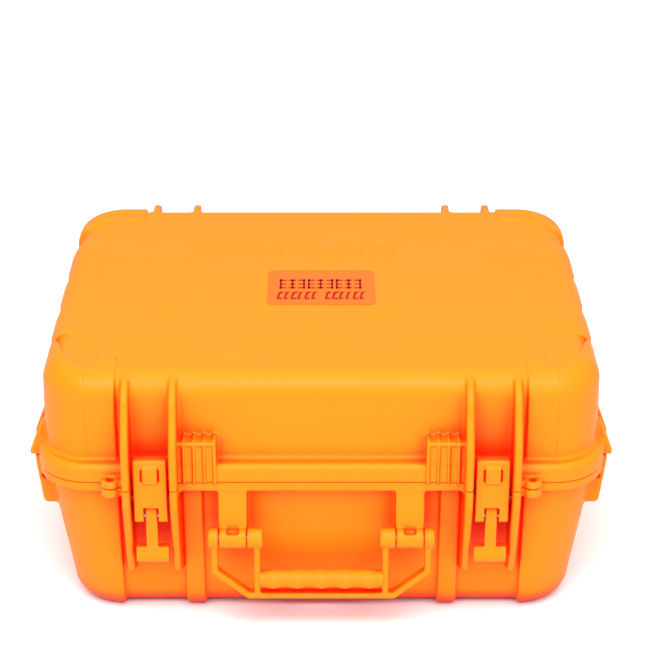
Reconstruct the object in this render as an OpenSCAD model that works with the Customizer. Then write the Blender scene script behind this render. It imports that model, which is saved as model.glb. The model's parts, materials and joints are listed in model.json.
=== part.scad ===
// Hard carrying case of a fiber fusion splicer, with the splicer in its foam.
// Millimetres, +Z up, +Y to the back. The origin is on the resting face, at the middle of the floor.

/* [Case] */
// Width over the corner bumpers
case_w = 430; // [400:1:460]
// Depth over the corner bumpers
case_d = 347; // [330:1:370]
// Height of the closed case
case_h = 212; // [204:1:216]
// Height of the parting plane between base and lid
part_z = 127; // [123:1:131]
// Wall thickness of both shells
wall = 4; // [3:0.5:5]
// Radius of the vertical corners
corner_r = 42; // [36:1:48]
// Rounding of the top edge of the lid
lid_edge_r = 18; // [14:1:20]
// Rounding of the bottom edge of the base
base_edge_r = 20; // [16:1:24]
// How far the base narrows on its left and right sides from rim to floor
side_draft = 16; // [12:1:18]
// How far the base narrows on its front and back from rim to floor
front_draft = 8; // [6:1:10]
// How far the rim stands out from the bumpers at the front and back
rim_out = 9; // [7:0.5:10]
// How far the rim stands out from the bumpers at the sides
rim_side = 4; // [3:0.5:6]
// Height of the lid's rim band
lid_rim_h = 15; // [13:1:16]
// Height of the base's rim band
base_rim_h = 8; // [6:1:10]
// How far the panels lie back from the corner bumpers
bumper_step = 4; // [2:0.5:5]

/* [Latches] */
// Distance of each latch and hinge from the middle
station_x = 130; // [120:1:135]
// Distance between the two guard ribs of a latch or hinge
rib_gap = 36; // [34:1:40]
// Thickness of a guard rib
rib_t = 6; // [5:0.5:7]
// Width of the latch hook plate
hook_w = 25.5; // [22:0.5:27]
// Gap between the latch lip and the rim under it
latch_gap = 0.3; // [0.2:0.1:0.5]

/* [Handle] */
// Distance of each handle bracket from the middle
bracket_x = 68; // [62:1:70]
// Width of a handle bracket
bracket_w = 21; // [18:1:22]
// Height of the handle's pivot axis
handle_z = 82; // [78:1:86]

/* [Splicer] */
// Width of the splicer's housing
splicer_w = 136; // [130:1:150]
// Depth of the splicer's housing
splicer_d = 158; // [150:1:165]
// Height of the splicer's housing
splicer_h = 104; // [98:1:106]
// Place of the splicer's middle along the width
splicer_x = -78; // [-90:1:-70]

/* [Hidden] */
$fn = 48;
eps = 0.01;

orange = "#F8981D";
steel = "#B9BDC1";
rubber = "#232323";
foam = "#3A3B3D";
grey = "#6C7075";
dark = "#2B2D30";

// Half sizes of the case body, over the bumpers
hx = case_w / 2;
hy = case_d / 2;
sides = [-1, 1];

// Bumpers and flutes
bumper_x = 155.5; // from here outwards the front and back carry a bumper
bumper_front = -93; // the front bumpers reach back to here
bumper_back = 130; // the rear bumpers reach forward to here
flute_n = 3;
flute_pitch = 61;
flute_rise = 5;
flute_r = (pow(flute_pitch / 2, 2) + pow(flute_rise, 2)) / (2 * flute_rise);

// Rim
rim_x = hx + rim_side;
rim_y = hy + rim_out;
rim_r = corner_r;
inner_x = hx - bumper_step - 2 - wall; // half width of the cavity at the rim
inner_y = hy - bumper_step - 2 - wall;
inner_r = corner_r - 8;
floor_t = bumper_step / 2 + wall; // top of the base's floor
lid_in = bumper_step + 3; // how far the lid's cavity lies inside the bumpers
seal_in = inner_x + 5; // inner edge of the seal groove
seal_w = 6;
seal_h = 6;
tongue_w = 3;
tongue_h = 2.8;

// Hinges
hinge_y = rim_y + 7.5;
hinge_z = part_z;
knuckle_r = 7;
pin_r = 2.5;
run = 0.06; // radial clearance of a running pin

// Guard ribs
front_y = -rim_y - 14.5; // front edge of the guards
// Latch pivots: the lever turns on the pivot pin, the hook plate on the link pin
pivot_y = -rim_y + 2.5;
pivot_z = part_z - 14;
link_y = pivot_y - 4;
link_z = pivot_z - 13.5;
latch_pin_r = 2;
link_pin_r = 1.5;

// Handle
handle_y = -hy - 14.5;
handle_pin_r = 3;
ear_r = 8;
ear_gap = 0.5;

// Splicer
splicer_y = 4;
splicer_floor_z = 22;
deck_z = splicer_floor_z + splicer_h; // top of the housing
foam_top = part_z - 4;
splicer_front = splicer_y - splicer_d / 2;
splicer_back = splicer_y + splicer_d / 2;
cover_w = 74; // wind cover
cover_d = 46;
cover_h = 24;
cover_front = splicer_y - 14;
cover_axis_y = cover_front + cover_d;
cover_axis_z = deck_z + 3.5;
heater_front = cover_axis_y + 12;
heater_d = 24;
heater_w = 92;
heater_axis_y = heater_front + 21;
heater_axis_z = deck_z + 3;
head_y = cover_front + 22; // line of the fibers
clamp_x = 25;
clamp_axis_y = head_y + 11;
clamp_axis_z = deck_z + 4;
key_xs = [-40, -20, 0, 20, 40];
key_y = splicer_front + 13;
pinned = 0.02; // radial clearance of a fixed pin

// Rounded rectangle of half sizes x and y
module rrect_exact(x, y, r) {
  square([2 * (x - r), 2 * y], center = true);
  square([2 * x, 2 * (y - r)], center = true);
  for (i = sides, j = sides) translate([i * (x - r), j * (y - r)]) circle(r);
}

// Points of a rounded rectangle, counted round from the +X side
corner_steps = 8;
function ring(x, y, r) = [
  for (c = [0:3], s = [0:corner_steps])
    let (a = 90 * c + 90 * s / corner_steps,
         sx = (c == 0 || c == 3) ? 1 : -1,
         sy = (c < 2) ? 1 : -1)
    [sx * (x - r) + r * cos(a), sy * (y - r) + r * sin(a)]
];

// Closed solid through rings [x, y, r, z], from bottom to top
module loft(rings) {
  n = 4 * (corner_steps + 1);
  m = len(rings);
  points = [for (k = rings, p = ring(k[0], k[1], k[2])) [p[0], p[1], k[3]]];
  side = [
    for (k = [0:m - 2], i = [0:n - 1])
      let (j = (i + 1) % n)
      [k * n + i, (k + 1) * n + i, (k + 1) * n + j, k * n + j]
  ];
  polyhedron(points, concat(side, [[for (i = [0:n - 1]) i]], [[for (i = [n - 1:-1:0]) (m - 1) * n + i]]));
}

edge_steps = 5;

// Body of the lid, smaller all round by t
module lid_body(t, foot = 0) {
  top = case_h - t;
  r = max(lid_edge_r - t, 3);
  loft(concat(
    [[hx - t, hy - t, corner_r - t, part_z - foot]],
    [for (s = [0:edge_steps])
      let (a = 90 * s / edge_steps, q = t + 1.5 + r * (1 - cos(a)))
      [hx - q, hy - q, max(corner_r - q, 2), top - r + r * sin(a)]]
  ));
}

// Body of the base, smaller all round by t
module base_body(t, head = 0) {
  r = max(base_edge_r - t / 2, 3);
  loft(concat(
    [for (s = [0:edge_steps])
      let (a = 90 * s / edge_steps, q = t + r * (1 - sin(a)))
      [hx - side_draft - q, hy - front_draft - q, max(corner_r - q, 4), t / 2 + r - r * cos(a)]],
    [[hx - t, hy - t, corner_r - t, part_z + head]]
  ));
}

// Room inside the base, smaller all round by t, up to the height z
module base_room(t, z) {
  r = base_edge_r - 6;
  loft(concat(
    [for (s = [0:edge_steps])
      let (a = 90 * s / edge_steps, q = t + r * (1 - sin(a)))
      [inner_x - side_draft - q, inner_y - front_draft - q, max(inner_r - q, 4), floor_t + r - r * cos(a)]],
    [[inner_x - t, inner_y - t, inner_r - t, z]]
  ));
}

// Corner bumper zones, as tall prisms: on the lid their edges curve in towards the top
front_plan = [
  [bumper_x, -hy - 20], [bumper_x, -133], [hx - 30, -133], [hx - 20, -124], [hx - 12, bumper_front - 8],
  [hx - 8, bumper_front], [hx + 20, bumper_front], [hx + 20, -hy - 20],
];
back_plan = [
  [bumper_x, hy + 20], [bumper_x, 115], [hx - 24, 115], [hx - 12, 121], [hx - 8, bumper_back],
  [hx + 20, bumper_back], [hx + 20, hy + 20],
];
module bumper_zones(z0, z1, curved)
  translate([0, 0, z0]) linear_extrude(z1 - z0) for (i = sides) {
    if (curved) {
      polygon([for (p = front_plan) [i * p[0], p[1]]]);
      polygon([for (p = back_plan) [i * p[0], p[1]]]);
    } else {
      translate([i * (bumper_x + 40), (bumper_front - hy - 20) / 2])
        square([80, bumper_front + hy + 20], center = true);
      translate([i * (bumper_x + 40), (bumper_back + hy + 20) / 2])
        square([80, hy + 20 - bumper_back], center = true);
    }
  }

// Flutes along the sides, as tall prisms
module flute_zones(z0, z1)
  for (i = sides, k = [0:flute_n - 1])
    translate([i * (hx - 1 - flute_r), bumper_front + (k + 0.5) * flute_pitch, z0])
      intersection() {
        cylinder(r = flute_r, h = z1 - z0, $fn = 96);
        translate([i * flute_r, 0, (z1 - z0) / 2])
          cube([30, flute_pitch - 0.4, z1 - z0 + 1], center = true);
      }

// A plate in the YZ plane from a list of [y, z] points, centred on x
module yz_plate(x, t, points)
  translate([x - t / 2, 0, 0]) rotate([90, 0, 90]) linear_extrude(t) polygon(points);

module x_rod(x, y, z, r, length)
  translate([x - length / 2, y, z]) rotate([0, 90, 0]) cylinder(r = r, h = length);

lid_guard = [
  [-hy + 22, case_h - 5], [-hy + 12, case_h - 4], [-hy + 3, case_h - 7], [-hy - 5, case_h - 16],
  [-hy - 11, case_h - 30], [front_y + 2, part_z + 36], [front_y, part_z + 22], [front_y, part_z + 0.3],
  [-hy + 20, part_z + 0.3],
];
base_guard = [
  [-hy + 24, part_z - 0.3], [front_y, part_z - 0.3], [front_y, part_z - 14], [-hy - 9, 64],
  [-hy - 3, 46], [-hy + 4, 40], [-hy + 24, 38],
];
lid_back_rib = [
  [hy - 20, case_h - 8], [hy + 8, case_h - 6], [hinge_y + 5, case_h - 11],
  [hinge_y + knuckle_r, part_z + 50], [hinge_y + knuckle_r, part_z], [hinge_y - knuckle_r, part_z],
  [rim_y - 1, part_z + 0.3], [hy - 20, part_z + 0.3],
];
base_back_rib = [
  [hy - 20, part_z - 16], [hinge_y + knuckle_r - 2, part_z - 16], [hinge_y + 3, 42], [hy + 2, 16],
  [hy - 20, 14],
];

module rib_pair(points) for (i = sides, j = sides) yz_plate(i * station_x + j * rib_gap / 2, rib_t, points);

// Comb-shaped rests beside the latches: a ledge on upright fins that run down over the rim
comb_in = 80;
comb_out = station_x - rib_gap / 2 - rib_t / 2 + 1;
comb_y = -rim_y - 2.5;
module comb(side) {
  top = part_z + 35;
  w = comb_out - comb_in;
  translate([side * (comb_in + comb_out) / 2 - w / 2, 0, 0]) {
    translate([0, -rim_y + 0.5, part_z + 0.3]) cube([w, 18, top - part_z - 2]);
    translate([0, comb_y + 1.5, top - 3]) cube([w, 18, 3]);
  }
  for (k = [0:3])
    yz_plate(side * (comb_in + 1 + k * (w - 4) / 3.4), 2, [[-hy + 12, part_z + 0.3], [comb_y, part_z + 0.3],
      [comb_y + 1.5, top - 1], [-rim_y + 3, top + 1], [-hy, top + 1.8], [-hy + 12, top + 1.8]]);
}

eye_in = station_x + rib_gap / 2 + rib_t / 2;
eye_x = eye_in + 9;
eye_y = -rim_y - 4.5;
eye_r = 3;
eye_out_r = 6.8;
module padlock_eye(side, z0, z1)
  translate([side * eye_x, eye_y, z0]) {
    cylinder(r = eye_out_r, h = z1 - z0);
    translate([side > 0 ? eye_in - 0.5 - eye_x : -eye_out_r, -3, 0])
      cube([eye_x - eye_in + 0.5 + eye_out_r, 17, z1 - z0]);
  }

strap_ys = [-138, -104];
strap_t = 6;
strap_x = hx + 1.5;
strap_z = part_z - 19;
strap_r = 2.3;
// Upright plates across the sides from a list of [x, z] points
module side_plates(side, points)
  for (y = strap_ys) translate([0, y + strap_t, 0]) rotate([90, 0, 0]) linear_extrude(strap_t)
    polygon([for (p = points) [side * p[0], p[1]]]);

strap_ear = [
  [hx - 16, part_z - 4], [hx + 8.5, part_z - 0.3], [hx + 8, part_z - 8], [hx + 4, part_z - 40],
  [hx + 2, part_z - 43], [hx - 16, part_z - 43],
];
lid_wedge = [
  [hx - 14, part_z + 34], [hx + 2, part_z + 30], [hx + 12, part_z + 3], [hx + 12, part_z + 0.3],
  [hx - 14, part_z + 0.3],
];

module rim_band(x, y, r, z0, z1) translate([0, 0, z0]) linear_extrude(z1 - z0) rrect_exact(x, y, r);

module seal_ring(in, w, z0, z1)
  translate([0, 0, z0]) linear_extrude(z1 - z0) difference() {
    rrect_exact(in + w, in + w - inner_x + inner_y, inner_r + (in + w - inner_x));
    rrect_exact(in, in - inner_x + inner_y, inner_r + (in - inner_x));
  }

module handle_bracket(side) {
  difference() {
    union() {
      yz_plate(side * bracket_x, bracket_w + 1, [[-hy + 20, part_z - 4], [-rim_y + 1, part_z - 4],
        [handle_y + 1, handle_z + 4], [handle_y, handle_z - 2], [-hy + 20, handle_z - 7]]);
      x_rod(side * bracket_x, handle_y, handle_z, ear_r, bracket_w);
    }
    translate([side * bracket_x - 4.5, handle_y - 5, handle_z + 4]) cube([9, 7, 9]);
  }
}

module base_shell() color(orange) difference() {
  union() {
    difference() {
      union() {
        base_body(bumper_step);
        intersection() {
          base_body(0);
          union() {
            bumper_zones(0, part_z, false);
            flute_zones(0, part_z);
            for (i = sides) translate([i * 99, -hy, part_z / 2]) cube([15, 30, part_z], center = true);
          }
        }
        rim_band(rim_x - 0.5, rim_y - 0.5, rim_r - 0.5, part_z - base_rim_h, part_z);
        rib_pair(base_guard);
        rib_pair(base_back_rib);
        for (i = sides) {
          padlock_eye(i, part_z - 7.5, part_z - 0.3);
          side_plates(i, strap_ear);
          handle_bracket(i);
          yz_plate(i * station_x, rib_gap - rib_t - 1, [[hy - 20, part_z - 14], [hinge_y, part_z - knuckle_r],
            [hinge_y, part_z - 0.3], [hy - 20, part_z - 0.3]]);
        }
      }
      base_room(0, part_z + 1);
    }
    seal_ring(seal_in + 1.5, tongue_w, part_z - 1, part_z + tongue_h);
    for (i = sides) x_rod(i * station_x, hinge_y, hinge_z, knuckle_r, rib_gap - rib_t - 1);
  }
  for (i = sides) {
    x_rod(i * station_x, hinge_y, hinge_z, pin_r + run, rib_gap);
    x_rod(i * station_x, pivot_y, pivot_z, latch_pin_r + run, rib_gap + 2 * rib_t);
    x_rod(i * bracket_x, handle_y, handle_z, handle_pin_r + run, bracket_w + 4);
    translate([i * eye_x, eye_y, part_z - 20]) cylinder(r = eye_r, h = 30);
    translate([i * strap_x, strap_ys[0] - 10, strap_z]) rotate([-90, 0, 0]) cylinder(r = strap_r, h = 60);
  }
}

// Round stacking recesses in the top of the lid: [x, y, z of the floor, radius]
disc_centres = [
  for (i = sides, y = [-66, 72]) [i * 48, y, case_h - 3.2, 14],
  for (i = sides, y = [-141, 141]) [i * (hx - 36), y, case_h - 1.2, 9.5],
];
label_x = 44;
label_d = 34;
label_y = -6;

module lid_shell() color(orange) difference() {
  union() {
    difference() {
      union() {
        lid_body(bumper_step - 2);
        intersection() {
          lid_body(0);
          union() {
            bumper_zones(part_z, case_h + 1, true);
            flute_zones(part_z, case_h - 1.7);
          }
        }
        rim_band(rim_x, rim_y, rim_r, part_z, part_z + lid_rim_h);
        rib_pair(lid_guard);
        rib_pair(lid_back_rib);
        for (i = sides) {
          comb(i);
          padlock_eye(i, part_z + 0.3, part_z + 6);
          side_plates(i, lid_wedge);
        }
      }
      lid_body(lid_in, 1);
    }
    for (i = sides, j = sides) x_rod(i * station_x + j * rib_gap / 2, hinge_y, hinge_z, knuckle_r, rib_t);
  }
  seal_ring(seal_in, seal_w, part_z - 1, part_z + seal_h);
  for (p = disc_centres) translate([p[0], p[1], p[2]]) cylinder(r = p[3], h = 5);
  for (i = sides) {
    x_rod(i * station_x, hinge_y, hinge_z, pin_r + run, rib_gap + 2 * rib_t);
    translate([i * eye_x, eye_y, part_z - 5]) cylinder(r = eye_r, h = 30);
  }
}

module lid_gasket() color(rubber)
  seal_ring(seal_in + 0.3, seal_w - 0.6, part_z + tongue_h + 0.2, part_z + seal_h);

module label_plate() color("#E8641B")
  translate([0, label_y, case_h - 2]) linear_extrude(0.4) rrect_exact(label_x, label_d, 5);

module hinge_pin(side) color(steel) x_rod(side * station_x, hinge_y, hinge_z, pin_r, rib_gap + rib_t + 1);

// Latch lever: knuckle, stem and grooved grip
stem_w = 9;
lever_grip = [part_z - 67, part_z - 54];
module latch_lever(side) color(orange) difference() {
  union() {
    x_rod(side * station_x, pivot_y, pivot_z, 4, rib_gap - rib_t - 1);
    yz_plate(side * station_x, stem_w, [[pivot_y + 3, pivot_z], [pivot_y - 3.6, pivot_z + 1],
      [link_y - 3.5, link_z + 4], [link_y - 3.5, lever_grip[0] + 6], [link_y + 2, lever_grip[0] + 6],
      [link_y + 3.2, link_z]]);
    yz_plate(side * station_x, hook_w - 0.5, [[link_y + 3.2, lever_grip[1]], [link_y - 3.5, lever_grip[1]],
      [link_y - 5.5, lever_grip[0] + 3], [link_y - 4, lever_grip[0]], [link_y + 1.5, lever_grip[0] + 1]]);
  }
  x_rod(side * station_x, pivot_y, pivot_z, latch_pin_r + run, rib_gap);
  x_rod(side * station_x, link_y, link_z, link_pin_r + run, rib_gap);
  for (k = [0:2]) x_rod(side * station_x, link_y - 5.4, lever_grip[0] + 3 + 2.6 * k, 0.6, hook_w + 2);
}

// Latch hook plate: two legs, a face plate and the lip that holds the rim down
lip_z = part_z + lid_rim_h + latch_gap;
module latch_hook(side) color(orange) difference() {
  union() {
    yz_plate(side * station_x, hook_w, [
      [link_y - 3.2, link_z - 4], [link_y - 5.6, link_z - 2], [-rim_y - 7.5, part_z - 8],
      [-rim_y - 6.5, lip_z + 5.5], [-rim_y - 4.5, lip_z + 7], [-rim_y + 2.3, lip_z + 7],
      [-rim_y + 2.3, lip_z],
      [-rim_y - 1.2, lip_z], [-rim_y - 2.2, pivot_z + 7], [-rim_y - 2.8, pivot_z - 2],
      [link_y + 2.8, link_z + 3], [link_y + 2.8, link_z - 3], [link_y + 1, link_z - 4]]);
    yz_plate(side * station_x, 11.5, [[-rim_y - 6, part_z + 2], [-rim_y - 8.7, part_z + 4],
      [-rim_y - 8.2, lip_z + 1.5], [-rim_y - 6, lip_z + 3.5]]);
  }
  translate([side * station_x - 5.75, -rim_y - 20, link_z - 20]) cube([11.5, 60, 29.5]);
  translate([side * station_x - 5.75, pivot_y - 6.5, link_z + 7]) cube([11.5, 16, 10]);
  for (j = sides) translate([side * station_x + j * 6.5 - 0.7, -rim_y - 12, part_z + 5]) cube([1.4, 8, 10]);
  for (k = [0:2]) x_rod(side * station_x, -rim_y - 8.9, part_z + 5.5 + 2.4 * k, 0.6, 11.6);
  x_rod(side * station_x, link_y, link_z, link_pin_r + run, rib_gap);
}

module latch_pivot_pin(side) color(steel)
  x_rod(side * station_x, pivot_y, pivot_z, latch_pin_r, rib_gap + rib_t);
module latch_link_pin(side) color(steel) x_rod(side * station_x, link_y, link_z, link_pin_r, hook_w - 0.5);

// Handle: two arms a side, a slanted outer bow, the ears and the grip with its finger swells
arm_in = 49.5;
arm_out = 82.2;
arm_t = 5;
ear_in = bracket_x - bracket_w / 2 - ear_gap;
ear_out = bracket_x + bracket_w / 2 + ear_gap;
bow_z = handle_z - 53;
grip_z = bow_z + 16;
handle_outline = [[57, bow_z], [arm_out + arm_t / 2, bow_z + 23], [arm_out + arm_t / 2, handle_z]];
handle_window = [
  [arm_in + arm_t / 2, bow_z + arm_t], [55.2, bow_z + arm_t], [arm_out - arm_t / 2, bow_z + 25.4],
  [arm_out - arm_t / 2, handle_z + 20], [arm_in + arm_t / 2, handle_z + 20],
];
module carry_handle() color(orange) difference() {
  union() {
    translate([0, handle_y + 4, 0]) rotate([90, 0, 0]) linear_extrude(9) difference() {
      polygon(concat(handle_outline, [for (k = [2:-1:0]) [-handle_outline[k][0], handle_outline[k][1]]]));
      translate([-arm_in + arm_t / 2, bow_z + arm_t]) square([2 * arm_in - arm_t, 90]);
      for (i = sides) polygon([for (p = handle_window) [i * p[0], p[1]]]);
    }
    for (i = sides) {
      x_rod(i * (ear_in - 6), handle_y, handle_z, ear_r, 12);
      x_rod(i * (ear_out + 4), handle_y, handle_z, ear_r, 8);
    }
    x_rod(0, handle_y - 0.5, grip_z, 7.4, 2 * arm_in);
    for (k = [-1.5:1.5]) x_rod(k * 20, handle_y - 0.5, grip_z + 0.8, 8.4, 13);
  }
  for (i = sides) x_rod(i * bracket_x, handle_y, handle_z, handle_pin_r + run, bracket_w + 26);
}

module handle_pin(side) color(steel)
  x_rod(side * bracket_x, handle_y, handle_z, handle_pin_r, bracket_w + 15);

// Foam: the base block with its pockets, and the pad in the lid
pockets = [
  [22, 178, -140, -18, 46],
  [22, 178, -4, 138, 34],
  [-192, -168, -110, 70, 72],
];
module base_foam() color(foam) difference() {
  base_room(1.5, foam_top);
  translate([splicer_x - splicer_w / 2 - 4, splicer_front - 4, splicer_floor_z])
    cube([splicer_w + 8, splicer_d + 8, 120]);
  for (i = sides) translate([splicer_x + i * splicer_w / 2 - 15, splicer_y - 22, 62]) cube([30, 44, 120]);
  for (p = pockets) translate([p[0], p[2], p[4]]) cube([p[1] - p[0], p[3] - p[2], 120]);
}

pad_t = 16;
pad_top = case_h - lid_in;
module lid_foam() color(foam) difference() {
  translate([0, 0, pad_top - pad_t]) linear_extrude(pad_t) rrect_exact(inner_x - 26, inner_y - 26, 18);
  translate([splicer_x - splicer_w / 2 - 8, splicer_front - 4, 100])
    cube([splicer_w + 16, splicer_d + 12, 120]);
  for (x = [30:24:150], y = [-108:24:108]) translate([x, y, pad_top - pad_t - 4]) cylinder(r = 8, h = 10);
}

// Upright rounded box centred on the splicer, in by t
module splicer_box(t, z0, z1)
  translate([splicer_x, splicer_y, z0]) linear_extrude(z1 - z0)
    rrect_exact(splicer_w / 2 - t, splicer_d / 2 - t, 9 - t);

module at_corners(inset)
  for (i = sides, j = sides)
    translate([splicer_x + i * (splicer_w / 2 - inset), splicer_y + j * (splicer_d / 2 - inset), 0])
      children();

battery_z = splicer_floor_z + 14;
module splicer_housing() color("#F2B21C") difference() {
  union() {
    difference() {
      splicer_box(0, splicer_floor_z + 4, deck_z - 4);
      splicer_box(3, splicer_floor_z, deck_z);
    }
    intersection() {
      splicer_box(1, deck_z - 18, deck_z - 4);
      at_corners(7) translate([0, 0, deck_z - 18]) cylinder(r = 5, h = 14);
    }
  }
  translate([splicer_x - 34, splicer_back - 8, battery_z]) cube([68, 20, 60]);
  at_corners(7) translate([0, 0, deck_z - 16]) cylinder(r = 1.5 + pinned, h = 20);
}

module splicer_floor() color(dark) {
  splicer_box(0, splicer_floor_z, splicer_floor_z + 4);
  for (x = [-46, 46], y = [18, 102])
    translate([splicer_x + x, splicer_front + y, splicer_floor_z + 4]) cylinder(r = 3, h = 4);
}

module splicer_bumpers() color(rubber) difference() {
  at_corners(5) translate([0, 0, splicer_floor_z + 4]) cylinder(r = 8.2, h = splicer_h - 8);
  splicer_box(-0.02, splicer_floor_z, deck_z);
}

// Lug on the deck for a pin along X
module lug(x, t, y, z, w)
  translate([x - t / 2, y - w / 2, deck_z - 2]) cube([t, w, z - deck_z + 2 + w / 2]);

// Deck: the top plate, with wells for the splice head, the heater and the keys, and the hinge lugs
well_w = 66;
well_d = 32;
heater_pin_r = 1.2;
cover_pin_r = 1.5;
clamp_pin_r = 1;
module splicer_deck() color(dark) difference() {
  union() {
    splicer_box(0, deck_z - 4, deck_z);
    for (i = sides) {
      lug(splicer_x + i * 23.5, 5, cover_axis_y, cover_axis_z, 6);
      lug(splicer_x + i * (heater_w / 2 + 3), 4, heater_axis_y, heater_axis_z, 5);
    }
  }
  translate([splicer_x - well_w / 2, head_y - 14, deck_z - 10]) cube([well_w, well_d, 20]);
  translate([splicer_x - heater_w / 2 + 4, heater_front + 3, deck_z - 10]) cube([heater_w - 8, 14, 20]);
  for (x = key_xs) translate([splicer_x + x, key_y, deck_z - 10]) cylinder(r = 5.3, h = 20);
  at_corners(7) translate([0, 0, deck_z - 6]) cylinder(r = 1.5 + pinned, h = 10);
  x_rod(splicer_x, cover_axis_y, cover_axis_z, cover_pin_r + pinned, 60);
  x_rod(splicer_x, heater_axis_y, heater_axis_z, heater_pin_r + pinned, 120);
}

module splicer_screws() color(steel) at_corners(7) {
  translate([0, 0, deck_z - 14]) cylinder(r = 1.5, h = 14);
  translate([0, 0, deck_z]) difference() {
    cylinder(r = 2.8, h = 1.6);
    translate([0, 0, 0.8]) cylinder(r = 1.4, h = 2, $fn = 6);
  }
}

// Screen on a wedge in front of the wind cover
screen_w = 100;
screen_y0 = splicer_front + 21;
screen_y1 = cover_front - 3;
screen_rise = 14;
screen_k = (screen_rise - 3) / (screen_y1 - screen_y0);
// Height of the sloping face at y, lowered by t
function slope(y, t) = deck_z + 3 + screen_k * (y - screen_y0) - t;
module screen_bezel() color(dark) difference() {
  yz_plate(splicer_x, screen_w + 12, [[screen_y0, deck_z], [screen_y0, slope(screen_y0, 0)],
    [screen_y1, slope(screen_y1, 0)], [screen_y1, deck_z]]);
  yz_plate(splicer_x, screen_w, [[screen_y0 + 4, slope(screen_y0 + 4, 1.8)], [screen_y0 + 4, deck_z + 25],
    [screen_y1 - 4, deck_z + 25], [screen_y1 - 4, slope(screen_y1 - 4, 1.8)]]);
}
module screen_glass() color("#1B3556")
  yz_plate(splicer_x, screen_w - 0.4, [[screen_y0 + 4.2, slope(screen_y0 + 4.2, 1.8)],
    [screen_y0 + 4.2, slope(screen_y0 + 4.2, 0.5)], [screen_y1 - 4.2, slope(screen_y1 - 4.2, 0.5)],
    [screen_y1 - 4.2, slope(screen_y1 - 4.2, 1.8)]]);

// Keys, and the board under them
module key(k) color(k == 0 ? "#C03A2B" : grey) translate([splicer_x + key_xs[k], key_y, 0]) {
  translate([0, 0, deck_z - 6]) cylinder(r = 5, h = 8);
  translate([0, 0, deck_z - 6.5]) cylinder(r = 6.2, h = 1.5);
}
module key_board() color("#1F5E3A") {
  translate([splicer_x - 54, key_y - 8, deck_z - 10]) cube([108, 16, 1.6]);
  for (i = sides) translate([splicer_x + i * 51.5 - 2.5, key_y - 3, deck_z - 9]) cube([5, 6, 5]);
}

// Wind cover over the splice head, hinged at its back edge
module wind_cover() color(dark) difference() {
  union() {
    yz_plate(splicer_x, cover_w, [[cover_front, deck_z + 0.4], [cover_front, deck_z + 10],
      [cover_front + 9, deck_z + cover_h], [cover_axis_y - 9, deck_z + cover_h],
      [cover_axis_y - 5, deck_z + 14], [cover_axis_y - 5, deck_z + 0.4]]);
    x_rod(splicer_x, cover_axis_y, cover_axis_z, 3, 41);
    yz_plate(splicer_x, 41, [[cover_axis_y - 6, deck_z + 3], [cover_axis_y - 6, deck_z + 11],
      [cover_axis_y + 2, cover_axis_z + 2], [cover_axis_y, cover_axis_z]]);
  }
  yz_plate(splicer_x, cover_w - 5, [[cover_front + 2.5, deck_z - 1], [cover_front + 2.5, deck_z + 9],
    [cover_front + 10, deck_z + cover_h - 2.5], [cover_axis_y - 11, deck_z + cover_h - 2.5],
    [cover_axis_y - 8, deck_z + 12], [cover_axis_y - 8, deck_z - 1]]);
  translate([splicer_x - 22, cover_front + 13, deck_z + 15]) cube([44, 18, 20]);
  x_rod(splicer_x, cover_axis_y, cover_axis_z, cover_pin_r + run, 60);
  for (i = sides) x_rod(splicer_x + i * cover_w / 2, head_y, deck_z + 1.5, 2.2, 12);
}
module wind_cover_window() color("#33506A")
  translate([splicer_x - 22, cover_front + 13, deck_z + cover_h - 2.3]) cube([44, 18, 2]);
module wind_cover_pin() color(steel) x_rod(splicer_x, cover_axis_y, cover_axis_z, cover_pin_r, 52);

// Splice head under the wind cover: grooved block on its plate, with posts for the electrodes and the clamps
module v_groove_block() color(steel) difference() {
  union() {
    translate([splicer_x - 40, head_y - 18, deck_z - 7]) cube([80, 42, 3]);
    translate([splicer_x - 31, head_y - 8, deck_z - 16]) cube([62, 16, 17]);
    for (j = sides) translate([splicer_x - 4, head_y + j * 8.5 - 2.5, deck_z - 16]) cube([8, 5, 18]);
    for (i = sides, j = sides)
      translate([splicer_x + i * clamp_x + j * 5.4 - 1.1, clamp_axis_y - 2, deck_z - 7])
        cube([2.2, 4, clamp_axis_z - deck_z + 9]);
  }
  for (i = sides) translate([splicer_x + i * 7.5 - 3.5, head_y - 4, deck_z - 5]) cube([7, 8, 12]);
  translate([splicer_x - 4.5, head_y - 6, deck_z - 5]) cube([9, 12, 12]);
  translate([splicer_x, head_y, deck_z + 1]) rotate([45, 0, 0]) cube([80, 0.9, 0.9], center = true);
  translate([splicer_x, head_y + 20, deck_z - 1]) rotate([90, 0, 0]) cylinder(r = 1 + pinned, h = 40);
  x_rod(splicer_x, clamp_axis_y, clamp_axis_z, clamp_pin_r + pinned, 70);
}
module electrodes() color("#C9A04A")
  for (j = sides) translate([splicer_x, head_y, deck_z - 1]) rotate([-j * 90, 0, 0]) {
  translate([0, 0, 1.5]) cylinder(r1 = 0.1, r2 = 1, h = 4);
  translate([0, 0, 5.5]) cylinder(r = 1, h = 5.5);
  translate([0, 0, 11]) cylinder(r = 2, h = 2);
}
module objective_lenses() color("#22262B")
  for (x = [-6, 6]) translate([splicer_x + x, head_y, deck_z - 26]) cylinder(r = 4.5, h = 10);

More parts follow.
